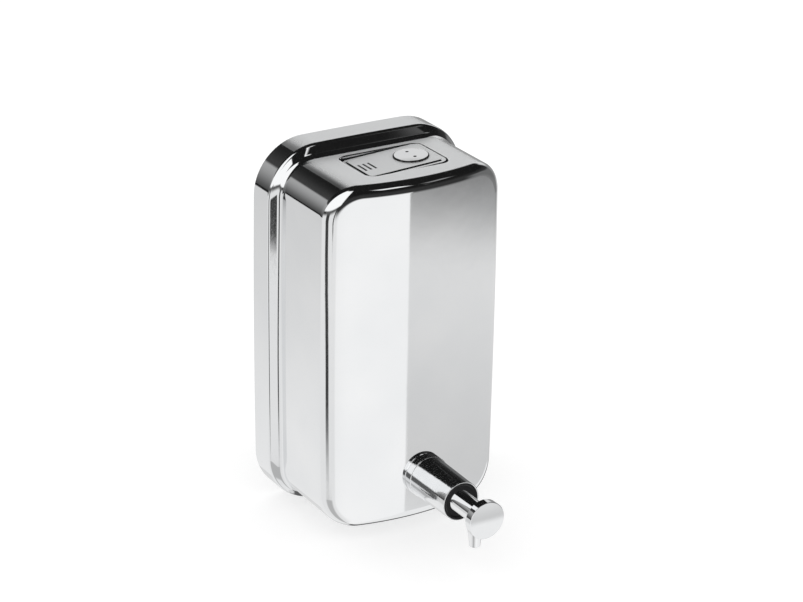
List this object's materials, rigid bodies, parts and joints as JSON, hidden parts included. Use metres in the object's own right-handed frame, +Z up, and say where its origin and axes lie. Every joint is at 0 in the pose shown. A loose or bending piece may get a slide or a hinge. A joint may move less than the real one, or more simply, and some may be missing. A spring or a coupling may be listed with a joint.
{
  "type": "wall soap dispenser",
  "caption": "Wall-hung liquid soap dispenser: stepped polished-steel tank with a bowed front, lockable top filler lid, push-button valve with a drop spout, and a hook-on wall bracket.",
  "frame": {"origin": "centre of the bracket's four wall holes, on the wall face", "axes": "+X to the right seen from the front, +Y into the wall, +Z up; the button faces -Y"},
  "size_m": [0.119, 0.141, 0.2058],
  "materials": {
    "polished_steel": "mirror-polished stainless sheet",
    "chrome_plate": "bright chrome plate",
    "black_plastic": "moulded, satin black",
    "black_rubber": "moulded black rubber",
    "white_plastic": "moulded, natural white",
    "plain_steel": "plain stainless sheet, unpolished",
    "spring_steel": "bright drawn wire or ball",
    "brass_bush": "turned brass"
  },
  "bodies": {
    "wall_mount": {"wall_bracket": "plain_steel"},
    "tank": {"front_shell": "polished_steel", "back_plate": "plain_steel", "hanger_frame": "plain_steel", "filler_frame": "plain_steel", "hinge_pin": "plain_steel", "valve_boss": "plain_steel", "outer_gasket": "black_rubber", "pump_housing": "black_plastic", "collar": "chrome_plate", "gland_bush": "black_plastic", "gland_seal": "black_rubber", "inlet_cap": "white_plastic"},
    "lid": {"hatch_lid": "polished_steel", "hinge_leaf": "plain_steel", "filler_gasket": "black_rubber", "lock_bush": "brass_bush"},
    "lock": {"lock_plug": "chrome_plate", "lock_cam": "plain_steel", "cam_screw": "plain_steel"},
    "button": {"plunger": "chrome_plate", "push_button": "chrome_plate", "spout": "chrome_plate", "piston": "white_plastic", "piston_seal": "black_rubber", "outlet_seat": "white_plastic", "outlet_spring": "spring_steel", "return_spring": "spring_steel"},
    "inlet_valve": {"inlet_ball": "spring_steel"},
    "outlet_valve": {"outlet_ball": "spring_steel"}
  },
  "joints": [
    {"name": "tank_lift", "type": "slide", "parent": "wall_mount", "child": "tank", "axis": [0, 0, 1], "range_m": [0, 0.046]},
    {"name": "lid_hinge", "type": "hinge", "parent": "tank", "child": "lid", "pos_m": [-0.017, -0.0425, 0.0921], "axis": [0, -1, 0], "range_deg": [-2.85, 89]},
    {"name": "lock_turn", "type": "hinge", "parent": "lid", "child": "lock", "pos_m": [0.0111, -0.0425, 0.0968], "axis": [-0.0497, 0, 0.9988], "range_deg": [0, 90]},
    {"name": "button_press", "type": "slide", "parent": "tank", "child": "button", "axis": [0, 1, 0], "range_m": [0, 0.0075], "stiffness_N_per_m": 600, "springref_m": -0.008, "deforming": ["return_spring"]},
    {"name": "inlet_valve_lift", "type": "slide", "parent": "tank", "child": "inlet_valve", "axis": [0, -1, 0], "range_m": [0, 0.002]},
    {"name": "outlet_valve_lift", "type": "slide", "parent": "button", "child": "outlet_valve", "axis": [0, -1, 0], "range_m": [0, 0.0015], "stiffness_N_per_m": 60, "springref_m": -0.002, "deforming": ["outlet_spring"]}
  ]
}
